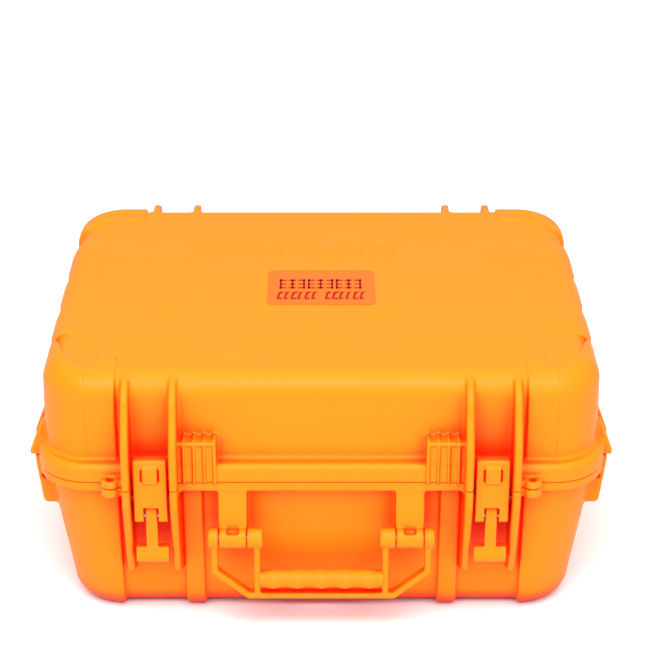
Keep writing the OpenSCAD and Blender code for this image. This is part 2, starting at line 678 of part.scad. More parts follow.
module fiber_clamp(side) color(grey) {
  x = splicer_x + side * clamp_x;
  difference() {
    union() {
      yz_plate(x, 8, [[head_y - 6, deck_z + 1.8], [head_y - 6, deck_z + 4.5], [head_y - 3, deck_z + 6],
        [clamp_axis_y, clamp_axis_z + 2.2], [clamp_axis_y, clamp_axis_z], [head_y + 6, deck_z + 1.8]]);
      x_rod(x, clamp_axis_y, clamp_axis_z, 2.2, 8);
    }
    x_rod(x, clamp_axis_y, clamp_axis_z, clamp_pin_r + run, 20);
  }
}
module fiber_clamp_pins() color(steel)
  for (i = sides) x_rod(splicer_x + i * clamp_x, clamp_axis_y, clamp_axis_z, clamp_pin_r, 13);

// Sleeve heater behind the wind cover
module heater_tray() color(steel) difference() {
  union() {
    translate([splicer_x - heater_w / 2 + 4.4, heater_front + 3.4, deck_z - 9])
      cube([heater_w - 8.8, 13.2, 9]);
    translate([splicer_x - heater_w / 2 + 1, heater_front + 1, deck_z - 7]) cube([heater_w - 2, 18, 3]);
  }
  translate([splicer_x - heater_w, heater_front + 6.5, deck_z - 6]) cube([2 * heater_w, 7, 10]);
}
module heater_lid() color(grey) difference() {
  union() {
    yz_plate(splicer_x, heater_w, [[heater_front, deck_z + 0.4], [heater_front, deck_z + 5],
      [heater_front + 4, deck_z + 8],
      [heater_axis_y - 5, deck_z + 8], [heater_axis_y, deck_z + 5.5], [heater_axis_y, deck_z + 0.6]]);
    x_rod(splicer_x, heater_axis_y, heater_axis_z, 2.5, heater_w);
  }
  translate([splicer_x - 30, heater_front + 6, deck_z + 3]) cube([60, 8, 10]);
  x_rod(splicer_x, heater_axis_y, heater_axis_z, heater_pin_r + run, heater_w + 2);
}
module heater_lid_pin() color(steel)
  x_rod(splicer_x, heater_axis_y, heater_axis_z, heater_pin_r, heater_w + 10);

module battery_pack() color(dark) translate([splicer_x - 33.7, splicer_back - 34, battery_z]) difference() {
  cube([67.4, 36, 59.6]);
  for (k = [0:4]) translate([18, 35.2, 40 + 3 * k]) cube([31.4, 2, 1.4]);
}
module main_board() color("#1F5E3A") translate([splicer_x - 52, splicer_front + 12, splicer_floor_z + 8]) {
  cube([104, 100, 1.6]);
  for (i = [0:2]) translate([14 + 30 * i, 24, 1.5]) cube([16, 16, 3]);
  translate([20, 60, 1.5]) cube([40, 22, 14]);
}

base_shell();
lid_shell();
lid_gasket();
label_plate();
hinge_pin(-1);  // hinge_pin_left
hinge_pin(1);  // hinge_pin_right
latch_lever(-1);  // latch_lever_left
latch_lever(1);  // latch_lever_right
latch_hook(-1);  // latch_hook_left
latch_hook(1);  // latch_hook_right
latch_pivot_pin(-1);  // latch_pivot_pin_left
latch_pivot_pin(1);  // latch_pivot_pin_right
latch_link_pin(-1);  // latch_link_pin_left
latch_link_pin(1);  // latch_link_pin_right
carry_handle();
handle_pin(-1);  // handle_pin_left
handle_pin(1);  // handle_pin_right
base_foam();
lid_foam();
splicer_housing();
splicer_floor();
splicer_bumpers();
splicer_deck();
splicer_screws();
screen_bezel();
screen_glass();
key(0);  // key_power
key(1);  // key_up
key(2);  // key_down
key(3);  // key_set
key(4);  // key_heat
key_board();
wind_cover();
wind_cover_window();
wind_cover_pin();
v_groove_block();
electrodes();
objective_lenses();
fiber_clamp(-1);  // fiber_clamp_left
fiber_clamp(1);  // fiber_clamp_right
fiber_clamp_pins();
heater_tray();
heater_lid();
heater_lid_pin();
battery_pack();
main_board();
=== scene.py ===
import json
import math
import bpy
import numpy as np
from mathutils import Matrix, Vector


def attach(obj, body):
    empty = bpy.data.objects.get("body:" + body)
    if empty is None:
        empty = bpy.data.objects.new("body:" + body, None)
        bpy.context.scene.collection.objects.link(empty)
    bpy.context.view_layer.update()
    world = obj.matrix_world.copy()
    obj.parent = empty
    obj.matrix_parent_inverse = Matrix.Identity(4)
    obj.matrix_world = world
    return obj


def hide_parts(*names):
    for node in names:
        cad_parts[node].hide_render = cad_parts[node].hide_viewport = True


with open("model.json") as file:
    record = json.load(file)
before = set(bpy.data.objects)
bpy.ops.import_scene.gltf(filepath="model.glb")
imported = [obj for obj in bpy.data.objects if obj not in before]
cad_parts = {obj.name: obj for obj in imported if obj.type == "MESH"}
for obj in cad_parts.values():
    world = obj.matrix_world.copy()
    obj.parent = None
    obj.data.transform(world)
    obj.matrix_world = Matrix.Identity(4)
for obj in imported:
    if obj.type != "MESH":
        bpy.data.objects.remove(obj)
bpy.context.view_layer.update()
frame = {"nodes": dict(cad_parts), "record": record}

# ---------------------------------------------------------------- distance fields, in millimetres


def hyp(*v):
    s = v[0] * v[0]
    for a in v[1:]:
        s = s + a * a
    return np.sqrt(s)


def meet(a, b, r=0.0):
    """Intersection with a round edge of radius r."""
    if r <= 0:
        return np.maximum(a, b)
    return np.minimum(np.maximum(a, b), -r) + hyp(np.maximum(a + r, 0), np.maximum(b + r, 0))


def join(a, b, r=0.0):
    """Union with a round fillet of radius r."""
    return -meet(-a, -b, r)


def rect2(x, y, hx, hy, r):
    qx, qy = np.abs(x) - hx + r, np.abs(y) - hy + r
    return hyp(np.maximum(qx, 0), np.maximum(qy, 0)) + np.minimum(np.maximum(qx, qy), 0) - r


def block(x, y, z, lo, hi, r):
    q = [np.abs(v - (a + b) / 2) - (b - a) / 2 + r for v, a, b in zip((x, y, z), lo, hi)]
    out = hyp(*[np.maximum(v, 0) for v in q])
    return out + np.minimum(np.maximum(np.maximum(q[0], q[1]), q[2]), 0) - r


def inset(pts, r):
    """The polygon moved in by r all round."""
    area = sum(a[0] * b[1] - b[0] * a[1] for a, b in zip(pts, pts[1:] + pts[:1]))
    if area < 0:
        pts = pts[::-1]
    out = []
    for i, (px, py) in enumerate(pts):
        ax, ay = px - pts[i - 1][0], py - pts[i - 1][1]
        bx, by = pts[(i + 1) % len(pts)][0] - px, pts[(i + 1) % len(pts)][1] - py
        la, lb = math.hypot(ax, ay), math.hypot(bx, by)
        n1, n2 = (-ay / la, ax / la), (-by / lb, bx / lb)
        k = r / max(1 + n1[0] * n2[0] + n1[1] * n2[1], 0.25)
        out.append((px + (n1[0] + n2[0]) * k, py + (n1[1] + n2[1]) * k))
    return out


def poly(u, v, pts, r=0.0):
    """Polygon with its outer corners rounded by r."""
    if r:
        pts = inset(pts, r)
    d = sign = None
    for i, (ax, ay) in enumerate(pts):
        bx, by = pts[i - 1]
        ex, ey = bx - ax, by - ay
        wx, wy = u - ax, v - ay
        t = np.clip((wx * ex + wy * ey) / (ex * ex + ey * ey), 0, 1)
        dd = (wx - ex * t) ** 2 + (wy - ey * t) ** 2
        c1, c2, c3 = v >= ay, v < by, ex * wy > ey * wx
        flip = (c1 & c2 & c3) | (~c1 & ~c2 & ~c3)
        d = dd if d is None else np.minimum(d, dd)
        sign = flip if sign is None else sign ^ flip
    return np.where(sign, -1.0, 1.0) * np.sqrt(d) - r


class Shape:
    """A solid as a list of distance functions, each with the box it acts in.

    mirrored: the -X half copies the +X half.
    """

    def __init__(self, lo, hi, mirrored=False):
        self.lo, self.hi, self.mirrored, self.ops = lo, hi, mirrored, []

    def add(self, f, k=0.0, lo=None, hi=None):
        self.ops.append((1, f, k, lo, hi))
        return self

    def cut(self, f, k=0.0, lo=None, hi=None):
        self.ops.append((-1, f, k, lo, hi))
        return self

    @staticmethod
    def blend(kind, d, e, k):
        return join(d, e, k) if kind > 0 else meet(d, -e, k)

    def on_grid(self, xs, ys, zs):
        d = np.full((len(xs), len(ys), len(zs)), 50.0, np.float32)
        for kind, f, k, lo, hi in self.ops:
            m = k + 4.0
            sl = []
            for axis, c in enumerate((xs, ys, zs)):
                if lo is None:
                    sl.append(slice(0, len(c)))
                else:
                    sl.append(slice(np.searchsorted(c, lo[axis] - m), np.searchsorted(c, hi[axis] + m)))
            x, y, z = xs[sl[0], None, None], ys[None, sl[1], None], zs[None, None, sl[2]]
            if not (x.size and y.size and z.size):
                continue
            sl = tuple(sl)
            e = np.broadcast_to(f(x, y, z), d[sl].shape)
            d[sl] = self.blend(kind, d[sl], e, k)
        return d

    def at(self, p):
        x, y, z = p.T
        if self.mirrored:
            x = np.abs(x)
        d = np.full(len(p), 50.0)
        for kind, f, k, lo, hi in self.ops:
            m = k + 4.0
            if lo is None:
                i = slice(None)
            else:
                i = np.nonzero((x > lo[0] - m) & (x < hi[0] + m) & (y > lo[1] - m) & (y < hi[1] + m)
                               & (z > lo[2] - m) & (z < hi[2] + m))[0]
                if not len(i):
                    continue
            d[i] = self.blend(kind, d[i], f(x[i], y[i], z[i]), k)
        return d

    def mesh(self, cell):
        """Quads of the surface, one vertex per crossed cell, drawn onto the true surface."""
        pad = 2 * cell
        ax = []
        for i in range(3):
            lo, hi = self.lo[i] - pad, self.hi[i] + pad
            if i == 0 and self.mirrored:
                n = int(hi / cell) + 2
                ax.append(np.arange(n) * cell)
            else:
                ax.append(lo + np.arange(int((hi - lo) / cell) + 2) * cell)
        d = self.on_grid(*[a.astype(np.float32) for a in ax])
        if self.mirrored:
            d = np.concatenate([d[:0:-1], d])
            ax[0] = np.concatenate([-ax[0][:0:-1], ax[0]])
        d = np.where(np.abs(d) < 1e-5, np.float32(1e-5), d)
        s = d < 0
        n = np.zeros(tuple(k - 1 for k in s.shape), np.int8)
        corners = [(a, b, c) for a in (0, 1) for b in (0, 1) for c in (0, 1)]
        view = lambda c: tuple(slice(k, k - 1 if k == 0 else None) for k in c)
        for c in corners:
            n += s[view(c)]
        active = (n > 0) & (n < 8)
        idx = np.argwhere(active)
        number = np.full(active.shape, -1, np.int32)
        number[active] = np.arange(len(idx))
        p, count = np.zeros((len(idx), 3)), np.zeros(len(idx))
        for i, a in enumerate(corners):
            for b in corners[i + 1:]:
                if sum(abs(u - v) for u, v in zip(a, b)) != 1:
                    continue
                da, db = d[tuple((idx + a).T)], d[tuple((idx + b).T)]
                m = (da < 0) != (db < 0)
                t = np.where(m, da / np.where(m, da - db, 1), 0)
                p += m[:, None] * (np.array(a) + t[:, None] * (np.array(b) - np.array(a)))
                count += m
        p = (idx + p / count[:, None]) * cell + np.array([a[0] for a in ax])
        quads = []
        for axis in range(3):
            u, v = (axis + 1) % 3, (axis + 2) % 3
            low = [slice(None)] * 3
            high = [slice(None)] * 3
            low[axis], high[axis] = slice(0, -1), slice(1, None)
            a, b = s[tuple(low)], s[tuple(high)]
            e = np.argwhere(a != b)
            keep = (e[:, u] > 0) & (e[:, v] > 0) & (e[:, u] < s.shape[u] - 1) & (e[:, v] < s.shape[v] - 1)
            e = e[keep]
            out = a[tuple(e.T)]
            du, dv = np.zeros(3, int), np.zeros(3, int)
            du[u], dv[v] = 1, 1
            q = np.stack([number[tuple((e - o).T)] for o in (du + dv, dv, 0 * du, du)], 1)
            q[~out] = q[~out][:, ::-1]
            quads.append(q)
        quads = np.concatenate(quads)
        tetra = np.array([(1, -1, -1), (-1, -1, 1), (-1, 1, -1), (1, 1, 1)], float)
        h = 0.3 * cell
        for _ in range(2):
            val = [self.at(p + h * k) for k in tetra]
            g = sum(v[:, None] * k for v, k in zip(val, tetra)) / (4 * h)
            size = np.maximum((g * g).sum(1), 0.3)
            step = np.clip(sum(val) / 4 / size, -0.7 * cell, 0.7 * cell)
            p -= step[:, None] * g
        return p, quads

    def build(self, name, cell, body, mat, replaces=()):
        p, quads = self.mesh(cell * (1.0))
        return piece(name, p, quads, body, mat, replaces)


def piece(name, p, quads, body, mat, replaces=()):
    me = bpy.data.meshes.new(name)
    me.vertices.add(len(p))
    me.vertices.foreach_set("co", (np.asarray(p) * 0.001).astype(np.float32).ravel())
    me.loops.add(4 * len(quads))
    me.loops.foreach_set("vertex_index", np.asarray(quads).astype(np.int32).ravel())
    me.polygons.add(len(quads))
    me.polygons.foreach_set("loop_start", np.arange(0, 4 * len(quads), 4, dtype=np.int32))
    me.update(calc_edges=True)
    me.polygons.foreach_set("use_smooth", np.ones(len(quads), bool))
    me.update()
    o = bpy.data.objects.new(name, me)
    bpy.context.scene.collection.objects.link(o)
    me.materials.append(mat)
    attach(o, body)
    if replaces:
        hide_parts(*replaces)
    return o


# ---------------------------------------------------------------- materials


def material(name, colour, rough=0.4, metal=0.0, grain=0.0, grain_size=0.5, mottle=0.0, painted_hollow_shade=None, **more):
    """A plastic, rubber or metal with fine surface grain and a little variation in colour and gloss;
    optionally with painted shade, a deeper colour mixed into hollows.
    """
    m = bpy.data.materials.new(name)
    m.use_nodes = True
    nt = m.node_tree
    b = nt.nodes["Principled BSDF"]
    coord = nt.nodes.new("ShaderNodeTexCoord")
    b.inputs["Base Color"].default_value = (*colour, 1)
    b.inputs["Roughness"].default_value = rough
    b.inputs["Metallic"].default_value = metal
    for key, value in more.items():
        b.inputs[key.replace("_", " ")].default_value = value
    wide = nt.nodes.new("ShaderNodeTexNoise")
    wide.inputs["Scale"].default_value = 22
    wide.inputs["Detail"].default_value = 6
    nt.links.new(coord.outputs["Object"], wide.inputs["Vector"])
    ramp = nt.nodes.new("ShaderNodeMapRange")
    ramp.inputs["From Min"].default_value = 0.3
    ramp.inputs["From Max"].default_value = 0.7
    ramp.inputs["To Min"].default_value = rough - 0.05
    ramp.inputs["To Max"].default_value = rough + 0.06
    nt.links.new(wide.outputs["Fac"], ramp.inputs["Value"])
    nt.links.new(ramp.outputs["Result"], b.inputs["Roughness"])
    if mottle:
        mix = nt.nodes.new("ShaderNodeMix")
        mix.data_type = "RGBA"
        mix.inputs["A"].default_value = (*[c * (1 - mottle) for c in colour], 1)
        mix.inputs["B"].default_value = (*[min(c * (1 + mottle), 1) for c in colour], 1)
        nt.links.new(wide.outputs["Fac"], mix.inputs["Factor"])
        nt.links.new(mix.outputs["Result"], b.inputs["Base Color"])
    if painted_hollow_shade:
        # painted shade: where ambient occlusion finds a hollow, the base colour is mixed towards a deeper red
        # that stands in for light bounced between the orange walls
        hollow = nt.nodes.new("ShaderNodeAmbientOcclusion")
        hollow.samples = 8
        hollow.inputs["Distance"].default_value = 0.045
        level = nt.nodes.new("ShaderNodeMapRange")
        level.inputs["From Min"].default_value = 0.25
        level.inputs["From Max"].default_value = 0.78
        full = nt.nodes.new("ShaderNodeMix")
        full.data_type = "RGBA"
        full.inputs["A"].default_value = (*painted_hollow_shade, 1)
        nt.links.new(hollow.outputs["AO"], level.inputs["Value"])
        nt.links.new(level.outputs["Result"], full.inputs["Factor"])
        nt.links.new(b.inputs["Base Color"].links[0].from_socket, full.inputs["B"])
        nt.links.new(full.outputs["Result"], b.inputs["Base Color"])
    if grain:
        fine = nt.nodes.new("ShaderNodeTexNoise")
        fine.inputs["Scale"].default_value = 1000 / grain_size
        fine.inputs["Detail"].default_value = 3
        nt.links.new(coord.outputs["Object"], fine.inputs["Vector"])
        bump = nt.nodes.new("ShaderNodeBump")
        bump.inputs["Strength"].default_value = grain
        bump.inputs["Distance"].default_value = 0.0002
        nt.links.new(fine.outputs["Fac"], bump.inputs["Height"])
        nt.links.new(bump.outputs["Normal"], b.inputs["Normal"])
    return m


# the case plastic carries painted shade: ambient occlusion mixes its hollows towards a deeper red
ORANGE = material("case_plastic", (0.90, 0.190, 0.0025), rough=0.45, grain=0.12, grain_size=0.9, mottle=0.02,
                  painted_hollow_shade=(0.88, 0.02, 0.001), Specular_IOR_Level=0.14)
LABEL = material("label_print", (0.86, 0.12, 0.004), rough=0.4, grain=0.03, Specular_IOR_Level=0.14)
MARKS = material("label_ink", (0.36, 0.008, 0.004), rough=0.5, grain=0.03, Specular_IOR_Level=0.08)
STEEL = material("pin_steel", (0.33, 0.33, 0.34), rough=0.42, metal=1.0, grain=0.06, grain_size=0.6)
SEAL = material("seal_rubber", (0.02, 0.02, 0.02), rough=0.7, grain=0.2)
FOAM = material("foam", (0.030, 0.031, 0.034), rough=0.95, grain=0.9, grain_size=2.2, mottle=0.25)
YELLOW = material("splicer_yellow", (0.90, 0.50, 0.03), rough=0.42, grain=0.12)
DARK = material("splicer_dark", (0.022, 0.024, 0.027), rough=0.5, grain=0.2)
GREY = material("splicer_grey", (0.20, 0.21, 0.23), rough=0.45, grain=0.15)
RUBBER = material("bumper_rubber", (0.016, 0.016, 0.017), rough=0.75, grain=0.3)
GLASS = material("screen_gloss", (0.006, 0.012, 0.025), rough=0.08)
RED = material("key_red", (0.55, 0.03, 0.02), rough=0.4, grain=0.1)
WINDOW = material("window_tint", (0.05, 0.06, 0.08), rough=0.1, Alpha=0.75)
BOARD = material("board_green", (0.015, 0.11, 0.035), rough=0.45, grain=0.1)
BRASS = material("electrode_brass", (0.75, 0.55, 0.22), rough=0.3, metal=1.0, grain=0.05)

# ---------------------------------------------------------------- dimensions that the pieces share

HX, HY = 215.0, 173.5  # half width and half depth of the body
RX, RY = 219.0, 182.5  # the same for the rim at the parting line
TOP, PART = 212.0, 127.0  # heights of the lid's top and of the parting line
CORNER = 42.0  # corner radius in plan
STATION, RIB = 130.0, 18.0  # latch and hinge places, and how far their ribs stand to each side
HINGE_Y = 190.0
HANDLE_Z = 82.0
BRACKET_X = 68.0  # middle of each handle bracket
BUMPER_X, FRONT_Y, BACK_Y = 155.5, -93.0, 130.0  # inner edges of the corner bumpers
EYE_X, EYE_Y, EYE_R, EYE_HOLE = 160.0, -187.0, 6.8, 3.0  # padlock eye
STRAP_YS, STRAP_HALF = (-135.0, -101.0), 3.0  # strap ears: places and half thickness
LABEL_X, LABEL_Y, LABEL_MID = 44.0, 34.0, -6.0  # label: half sizes and its middle in depth
LOBE = 61.0  # pitch of the swells on the side walls
LOBE_R = ((LOBE / 2) ** 2 + 8.0 ** 2) / 16.0  # radius of a swell that stands out 8 mm over its pitch


def smooth(t):
    t = np.clip(t, 0, 1)
    return t * t * (3 - 2 * t)


def bumper_zone(x, y, bend):
    """Front and rear corner bumpers; with bend their inner edges curve in over the top of the lid."""
    ax = np.abs(x)
    t = smooth((ax - 194.0) / 17.0)
    front = np.where(bend, FRONT_Y - 40.0 * (1 - t), FRONT_Y)
    back = np.where(bend, BACK_Y + 4.0 - 15.0 * smooth((ax - 184.0) / 28.0), BACK_Y)
    k = np.where(bend, 1.0 - 0.55 * np.clip(4 * t * (1 - t), 0, 1), 1.0)
    inner = BUMPER_X - ax
    return np.minimum(meet(inner, (y - front) * k, 7.0), meet(inner, (back - y) * k, 7.0))


def lobes(x, y):
    """Three upright swells on each side wall, between the bumpers."""
    v = np.mod(y - FRONT_Y, LOBE) - LOBE / 2
    arc = hyp(np.abs(x) - (HX + 0.9 - LOBE_R), v) - LOBE_R
    return meet(arc, np.abs(y - FRONT_Y - 1.5 * LOBE) - 1.5 * LOBE)


def slab(z, lo, hi):
    return np.maximum(lo - z, z - hi)


def plate(pts, x0, half, r, corner=0.0):
    return lambda x, y, z: meet(poly(y, z, pts, corner), np.abs(x - x0) - half, r)


def rod_x(x0, half, y0, z0, rad, edge=0.6):
    return lambda x, y, z: meet(hyp(y - y0, z - z0) - rad, np.abs(x - x0) - half, edge)


def rod_z(x0, y0, z0, z1, rad, edge=0.6):
    return lambda x, y, z: meet(hyp(x - x0, y - y0) - rad, slab(z, z0, z1), edge)


# ---------------------------------------------------------------- lid


def lid_side(x, y, z):
    return rect2(x, y, HX, HY, CORNER) + 1.5 * (z - PART) / (TOP - PART)


def lid_full(x, y, z):
    # a fine moulding step runs down each front bumper
    step = 0.9 * smooth((179.6 - np.abs(x)) / 0.8) * (y < -148)
    return meet(lid_side(x, y, z) + step, z - TOP + step, 18.0)


def lid_panel(x, y, z):
    return meet(lid_side(x, y, z) + 3.6, z - TOP + 2.0, 17.0)


def lid_lobes(x, y, z):
    skin = meet(lid_side(x, y, z) - 0.9, z - TOP + 1.3, 17.5)
    return meet(meet(skin, lobes(x, y), 0.3), 183.5 - x, 0.3)


def lid_hollow(x, y, z):
    side = rect2(x, y, 208.0, 166.5, 35.0) + 1.5 * (z - PART) / (TOP - PART)
    return meet(side, z - TOP + 7.0, 12.0)


def make_lid():
    s = Shape((-229, -198, PART - 8), (229, 198, TOP + 1), mirrored=True)
    s.add(lid_panel)
    s.add(lambda x, y, z: meet(lid_full(x, y, z), bumper_zone(x, y, True), 1.6), 1.2)
    s.add(lid_lobes, 0.5, (181, -94, PART - 8), (217, 91, TOP + 1))
    s.cut(lambda x, y, z: z - PART)
    # rim with its round top bead
    s.add(lambda x, y, z: meet(meet(rect2(x, y, RX, RY, 42.0), z - PART - 15.0, 5.0), PART - z, 0.7), 3.0,
          (0, -183, PART - 8), (RX, 183, PART + 16))
    guard = [(-151, TOP - 5), (-161, TOP - 4.5), (-168, TOP - 5.5), (-175, TOP - 10), (-180.5, TOP - 17),
             (-186, TOP - 31), (-195, PART + 36), (-197, PART + 22), (-197, PART - 5), (-151, PART - 5)]
    back = [(153, TOP - 6), (170, TOP - 5), (182, TOP - 6), (192, TOP - 10.5), (197, TOP - 20), (197, PART),
            (190, PART - 2), (183, PART), (153, PART + 0.3)]
    for j in (-1, 1):
        x0 = STATION + j * RIB
        s.add(plate(guard, x0, 3.0, 2.4, 2.0), 2.5, (x0 - 3, -197, PART - 5), (x0 + 3, -150, TOP - 2))
        s.add(plate(back, x0, 3.0, 2.0, 2.0), 5.0, (x0 - 3, 150, PART - 3), (x0 + 3, 197, TOP - 2))
    s.cut(lambda x, y, z: np.maximum(z - PART - 0.2, y + 150), 0, (0, -200, PART - 12), (229, -150, PART + 4))
    for j in (-1, 1):
        x0 = STATION + j * RIB
        s.add(rod_x(x0, 3.0, HINGE_Y, PART, 7.0), 0.0, (x0 - 3, 183, PART - 7), (x0 + 3, 197, PART + 7))
    # comb: ledge on fins that run down over the rim
    cl, cr, top, cy = 80.0, 110.0, PART + 35.0, -RY - 2.5
    s.add(lambda x, y, z: block(x, y, z, (cl, -RY + 0.5, PART + 0.3), (cr, -160, top - 2), 0.6), 0.4,
          (cl, -RY, PART), (cr, -160, top))
    s.add(lambda x, y, z: block(x, y, z, (cl, cy + 1.5, top - 3.0), (cr, -160, top), 0.9), 0.4,
          (cl, cy, top - 3), (cr, -160, top))
    for k in range(4):
        xf = cl + 1.0 + k * 7.8
        fin = [(-160, PART + 0.3), (cy, PART + 0.3), (cy + 1.5, top - 1), (-RY + 3, top + 1),
               (-HY, top + 1.8), (-160, top + 1.8)]
        s.add(plate(fin, xf, 1.0 if k else 1.3, 0.6), 0.3, (xf - 1, cy, PART), (xf + 1, -160, top + 4))
    # padlock eye and strap wedges
    s.add(rod_z(EYE_X, EYE_Y, PART + 0.3, PART + 6.0, EYE_R, 1.2), 1.0,
          (153, -194, PART), (167, -180, PART + 6))
    s.add(lambda x, y, z: block(x, y, z, (150.5, -190, PART + 0.3), (166.8, -174, PART + 6), 0.8), 1.0,
          (150.5, -190, PART), (167, -174, PART + 6))
    wedge = [(201, PART + 34), (217, PART + 30), (227, PART + 3.5), (227, PART + 0.3), (201, PART + 0.3)]
    for y0 in STRAP_YS:
        s.add(lambda x, y, z, y0=y0: meet(poly(x, z, wedge, 1.0), np.abs(y - y0) - STRAP_HALF, 1.2), 2.0,
              (200, y0 - 3, PART), (227, y0 + 3, PART + 35))
    # hollow, seal groove, stacking recesses, eye hole
    s.cut(lid_hollow, 1.0)
    s.cut(lambda x, y, z: meet(np.abs(rect2(x, y, 213.0, 171.5, 37.0)) - 3.0, z - PART - 6.0, 0.4), 0.3,
          (0, -176, PART - 8), (217, 176, PART + 6))
    for x0, y0, zf, r in ((48, -66, TOP - 3.2, 14), (48, 72, TOP - 3.2, 14), (179, -141, TOP - 1.2, 9.5),
                          (179, 141, TOP - 1.2, 9.5)):
        s.cut(rod_z(x0, y0, zf, 230, r, 0.6), 0.8, (x0 - r, y0 - r, zf - 1), (x0 + r, y0 + r, TOP + 1))
    s.cut(rod_z(EYE_X, EYE_Y, PART - 5, PART + 20, EYE_HOLE, 0), 0.5,
          (156, -191, PART - 5), (164, -183, PART + 8))
    return s.build("lid_moulding", 1.25, "lid", ORANGE, ["lid_shell"])


# ---------------------------------------------------------------- base


def draft(z):
    """How far down the base's sloping wall the height z is, from 0 at the rim to 1."""
    return np.clip((PART - z) / (PART - 20.0), 0, 1)


def base_side(x, y, z):
    return rect2(x, y, HX - 16.0 * draft(z), HY - 8.0 * draft(z), CORNER) * 0.99


def base_lobes(x, y, z):
    skin = meet(base_side(x, y, z) + 0.2, -z + 0.5, 20.0)
    return meet(skin, meet(lobes(x, y), 176.0 - x, 0.8), 0.3)


def base_strip(x, y, z):
    """Flat strip up the front wall, beside the latch guards."""
    skin = meet(base_side(x, y, z), 0.3 - z, 19.0)
    return meet(skin, meet(np.abs(x - 99.0) - 7.5, y + 140.0), 1.2)


def base_rim(x, y, z):
    return meet(meet(rect2(x, y, RX - 0.5, RY - 0.5, 41.5), PART - 8.0 - z, 2.2), z - PART, 0.7)


def base_room(x, y, z):
    side = rect2(x, y, 205.0 - 16.0 * draft(z), 163.5 - 8.0 * draft(z), 34.0)
    return meet(side, 6.0 - z, 14.0)


def base_tongue(x, y, z):
    """Ridge that presses into the lid's seal."""
    return meet(np.abs(rect2(x, y, 213.0, 171.5, 37.0)) - 1.5, slab(z, PART - 4, PART + 2.8), 0.5)


def make_base():
    s = Shape((-228, -198, -1), (228, 198, PART + 4), mirrored=True)
    s.add(lambda x, y, z: meet(base_side(x, y, z) + 4.0, 2.0 - z, 18.0))
    s.add(lambda x, y, z: meet(meet(base_side(x, y, z), -z, 20.0), bumper_zone(x, y, False), 1.4), 1.2)
    s.add(base_lobes, 0.6, (170, -94, -1), (216, 91, PART))
    s.add(base_strip, 1.2, (91, -175, -1), (107, -138, PART))
    s.cut(lambda x, y, z: PART - z)
    s.add(base_rim, 2.0, (0, -183, PART - 13), (RX, 183, PART))
    guard = [(-149, PART + 5), (-197, PART + 5), (-197, PART - 14), (-188, 82), (-180, 53), (-177, 46),
             (-171, 41), (-149, 38)]
    back = [(153, PART - 16), (195, PART - 16), (194, 62), (189, 40), (177, 18), (170, 15), (153, 14)]
    for j in (-1, 1):
        x0 = STATION + j * RIB
        s.add(plate(guard, x0, 3.0, 2.4, 2.5), 4.0, (x0 - 3, -197, 36), (x0 + 3, -145, PART + 5))
        s.add(plate(back, x0, 3.0, 2.0, 2.0), 4.0, (x0 - 3, 150, 10), (x0 + 3, 197, PART))
    s.cut(lambda x, y, z: np.maximum(PART - 0.2 - z, y + 140), 0, (0, -200, PART - 4), (229, -140, PART + 12))
    seat = ((STATION - 14.5, 153, PART - 14), (STATION + 14.5, 190, PART - 0.3))
    s.add(lambda x, y, z: block(x, y, z, *seat, 1.0), 1.0, (115, 150, PART - 18), (145, 192, PART))
    s.add(rod_x(STATION, 14.5, HINGE_Y, PART, 7.0), 0.0, (115, 182, PART - 8), (145, 198, PART + 8))
    # handle bracket: tapered pillar and barrel with a square window
    hz = HANDLE_Z
    pillar = [(-153, PART - 4), (-181.5, PART - 4), (-187, hz + 4), (-188, hz - 2), (-153, hz - 8)]
    s.add(plate(pillar, BRACKET_X, 11.0, 1.4, 1.0), 2.0, (57, -190, hz - 10), (79, -150, PART))
    s.add(rod_x(BRACKET_X, 10.5, -188.0, hz, 8.0, 1.2), 0.6, (57, -197, hz - 9), (79, -179, hz + 9))
    s.cut(lambda x, y, z: block(x, y, z, (63.5, -193, hz + 4), (72.5, -186, hz + 20), 0.6), 0.4,
          (63, -194, hz + 1), (73, -185, hz + 10))
    # padlock eye and strap ears
    s.add(rod_z(EYE_X, EYE_Y, PART - 7.5, PART - 0.3, EYE_R, 1.5), 1.0,
          (153, -194, PART - 8), (167, -180, PART))
    s.add(lambda x, y, z: block(x, y, z, (150.5, -190, PART - 7.5), (166.8, -174, PART - 0.3), 0.8), 1.0,
          (150.5, -190, PART - 8), (168, -174, PART))
    ear = [(199, PART - 4), (223.5, PART - 0.4), (223, PART - 8), (219, PART - 40), (217, PART - 43),
           (199, PART - 43)]
    for y0 in STRAP_YS:
        s.add(lambda x, y, z, y0=y0: meet(poly(x, z, ear, 1.0), np.abs(y - y0) - STRAP_HALF, 1.2), 2.0,
              (198, y0 - 3, PART - 44), (224, y0 + 3, PART))
    # hollow
    s.cut(base_room, 1.0)
    s.add(base_tongue, 0.4, (0, -175, PART - 8), (216, 175, PART + 3))
    s.cut(rod_z(EYE_X, EYE_Y, PART - 20, PART + 5, EYE_HOLE, 0), 0.5,
          (156, -191, PART - 20), (164, -183, PART + 5))
    s.cut(lambda x, y, z: meet(hyp(x - 216.5, z - PART + 19) - 2.3, y + 60), 0.4,
          (213, -140, PART - 25), (220, -60, PART - 13))
    return s.build("base_moulding", 1.25, "case_base", ORANGE, ["base_shell"])


# ---------------------------------------------------------------- handle


